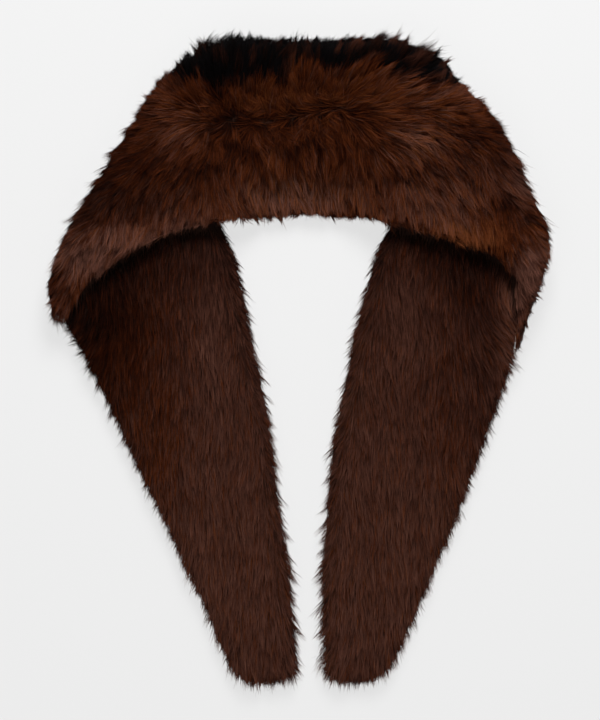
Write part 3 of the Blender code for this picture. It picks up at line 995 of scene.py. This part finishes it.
def fur_material(name, tip_gloss):
    """Hair: its tone picks a cool or a warm colour, and it darkens towards its root, a painted shade of the
    deep fur among the hairs.
    """
    material, graph = material_graph(name)
    spot = graph.node("ShaderNodeUVMap", {"uv_map": "OFBake"})
    split = graph.node("ShaderNodeSeparateXYZ", None, {0: spot.outputs["UV"]})
    across, along = graph.value(split, 0), graph.value(split, 1)
    warm = graph.math("GREATER_THAN", across, 0.5)
    tone = across * 2.0 - warm
    warm_stops = [(place, colour) for place, colour, _ in PALETTE]
    cool_stops = [(place, colour) for place, _, colour in PALETTE]
    warm_colour = graph.node("ShaderNodeValToRGB", {"stops": warm_stops}, {"Fac": tone}).outputs["Color"]
    cool_colour = graph.node("ShaderNodeValToRGB", {"stops": cool_stops}, {"Fac": tone}).outputs["Color"]
    mixed = graph.node("ShaderNodeMix", {"data_type": "RGBA"}, {0: warm, 6: cool_colour, 7: warm_colour})
    # Painted shade: the hair's colour darkens from its tip towards its root.
    root_shaded = graph.scale(mixed.outputs[2], 0.05 + along * 0.98)
    roughness = 0.75 - along * tip_gloss
    shade_surface(graph, {"Base Color": root_shaded, "Roughness": roughness, "Specular IOR Level": 0.012})
    return material


def underfur_material(name, dark, light):
    """Dense underfur: dark, finely streaked, rough."""
    material, graph = material_graph(name)
    place = graph.node("ShaderNodeTexCoord").outputs["Object"]
    stretched = graph.node("ShaderNodeMapping", None, {"Vector": place, "Scale": (900.0, 160.0, 160.0)})
    streaks = graph.value(
        graph.node(
            "ShaderNodeTexNoise", None, {"Vector": stretched.outputs[0], "Scale": 1.0, "Detail": 4.0}
        )
    )
    patches = graph.value(
        graph.node("ShaderNodeTexNoise", None, {"Vector": place, "Scale": 28.0, "Detail": 2.0})
    )
    share = graph.clamp(streaks * 0.7 + patches * 0.4, 0.0, 1.0)
    colour = graph.node("ShaderNodeValToRGB", {"stops": ((0.30, dark), (0.75, light))}, {"Fac": share})
    bump = graph.node("ShaderNodeBump", None, {"Height": streaks, "Strength": 0.6, "Distance": 0.0015})
    inputs = {"Base Color": colour.outputs["Color"], "Roughness": 0.9, "Specular IOR Level": 0.05}
    shade_surface(graph, {**inputs, "Normal": bump.outputs[0]})
    return material


def grow_fur(pelt, layer, node, hairs, looks, settings):
    """The combed hair of one piece, as one plain mesh."""
    fur = piece_of(pelt, node, layer.nodes)
    blade = blade_object()
    tree = bpy.data.node_groups.get("combed_fur") or fur_tree()
    modifier = fur.modifiers.new("combed fur", "NODES")
    modifier.node_group = tree
    values = {
        "Density": hairs / growing_area(fur.data),
        "Width": settings.hair_width,
        "Ceiling": settings.ceiling,
        "Seed": settings.seed + 31 * sorted(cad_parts).index(node),
        "Blade": blade,
        **looks,
    }
    for item in tree.interface.items_tree:
        if item.in_out == "INPUT" and item.name in values:
            modifier[item.identifier] = values[item.name]
    mesh = plain_mesh(fur, node + "_fur")
    bpy.data.objects.remove(blade)
    for name in WORKING_NAMES:
        mesh.attributes.remove(mesh.attributes[name])
    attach(fur, "root")
    return fur


class WRAP_OT_strip(bpy.types.Operator):
    """Makes the strip's pelt and the short hair of the tails"""

    bl_idname = "wrap.strip"
    bl_label = "Strip and Tails"

    def execute(self, context):
        settings = context.scene.fur_wrap
        pelt = make_pelt(STRIP, settings.tail_pile, settings)
        paint(pelt, STRIP, settings.tail_length)
        pelt.data.materials.append(underfur_material("strip_underfur", *STRIP_UNDERFUR))
        looks = {**TAIL_HAIR, "Length": settings.tail_length, "Fur": fur_material("tail_fur", 0.22)}
        counts = {
            "tail_left": settings.tail_hairs,
            "tail_right": settings.tail_hairs,
            "under_collar": settings.collar_hairs,
        }
        furs = [
            grow_fur(pelt, STRIP, node, count, looks, settings)
            for node, count in counts.items()
        ]
        return {"FINISHED"}


class WRAP_OT_fall(bpy.types.Operator):
    """Makes the turned-over fall with its long hair and its black crown"""

    bl_idname = "wrap.fall"
    bl_label = "Fall and Crown"

    def execute(self, context):
        settings = context.scene.fur_wrap
        pelt = make_pelt(FALL, settings.fall_pile, settings)
        paint(pelt, FALL, settings.fall_length)
        pelt.data.materials.append(underfur_material("fall_underfur", *FALL_UNDERFUR))
        looks = {**FALL_HAIR, "Length": settings.fall_length, "Fur": fur_material("fall_fur", 0.30)}
        furs = [
            grow_fur(pelt, FALL, node, settings.fall_hairs, looks, settings)
            for node in ("fall_left", "fall_centre", "fall_right")
        ]
        looks = {**CROWN_HAIR, "Length": settings.crown_length, "Fur": fur_material("crown_fur", 0.34)}
        crown = grow_fur(pelt, FALL, "crown_band", settings.crown_hairs, looks, settings)
        furs.append(crown)
        return {"FINISHED"}


def floor_material(colour, glow):
    material, graph = material_graph("floor")
    inputs = {"Base Color": (*colour, 1.0), "Roughness": 0.9}
    shade_surface(graph, {**inputs, "Emission Color": (1.0, 1.0, 1.0, 1.0), "Emission Strength": glow})
    return material


def area_light(name, place, size, power):
    """A square light that points at the origin."""
    data = bpy.data.lights.new(name, "AREA")
    data.shape = "SQUARE"
    data.size = size
    data.energy = power
    light = add_object(name, data)
    light.location = place
    light.rotation_euler = (-Vector(place)).to_track_quat("-Z", "Y").to_euler()


class WRAP_OT_stage(bpy.types.Operator):
    """Makes the floor, the light and the camera"""

    bl_idname = "wrap.stage"
    bl_label = "Stage"

    def execute(self, context):
        settings = context.scene.fur_stage
        shape = bmesh.new()
        bmesh.ops.create_grid(shape, x_segments=1, y_segments=1, size=FLOOR_REACH)
        floor = add_object("floor", mesh_of(shape, "floor"))
        floor.data.materials.append(floor_material(settings.floor_colour, settings.floor_glow))
        area_light("key_light", *KEY_LIGHT, settings.key_power)
        area_light("fill_light", *FILL_LIGHT, settings.fill_power)
        world = bpy.data.worlds.new("studio")
        world.use_nodes = True
        world.node_tree.nodes["Background"].inputs["Color"].default_value = (1.0, 1.0, 1.0, 1.0)
        world.node_tree.nodes["Background"].inputs["Strength"].default_value = settings.room_light
        context.scene.world = world
        context.scene.view_settings.view_transform = "Standard"
        data = bpy.data.cameras.new("camera")
        data.lens = settings.lens
        data.clip_end = 100.0
        camera = add_object("camera", data)
        height = settings.view_height * settings.lens / data.sensor_width
        camera.location = Vector(settings.view_centre) + Vector((0.0, 0.0, height))
        context.scene.camera = camera
        return {"FINISHED"}


class WRAP_PT_panel(bpy.types.Panel):
    """Lists the settings and the steps"""

    bl_label = "Fur Collar Wrap"
    bl_idname = "WRAP_PT_panel"
    bl_space_type = "VIEW_3D"
    bl_region_type = "UI"
    bl_category = "Fur Wrap"

    def draw(self, context):
        for settings in (context.scene.fur_wrap, context.scene.fur_stage):
            for name in settings.__annotations__:
                self.layout.prop(settings, name)
        for operator in OPERATORS:
            self.layout.operator(operator.bl_idname)


OPERATORS = (WRAP_OT_strip, WRAP_OT_fall, WRAP_OT_stage)
CLASSES = (FurSettings, StageSettings, *OPERATORS, WRAP_PT_panel)


def register():
    for kind in CLASSES:
        bpy.utils.register_class(kind)
    bpy.types.Scene.fur_wrap = PointerProperty(type=FurSettings)
    bpy.types.Scene.fur_stage = PointerProperty(type=StageSettings)


def unregister():
    del bpy.types.Scene.fur_wrap
    del bpy.types.Scene.fur_stage
    for kind in reversed(CLASSES):
        bpy.utils.unregister_class(kind)


def main():
    register()
    bpy.ops.wrap.strip()
    bpy.ops.wrap.fall()
    bpy.ops.wrap.stage()


if __name__ == "__main__":
    main()
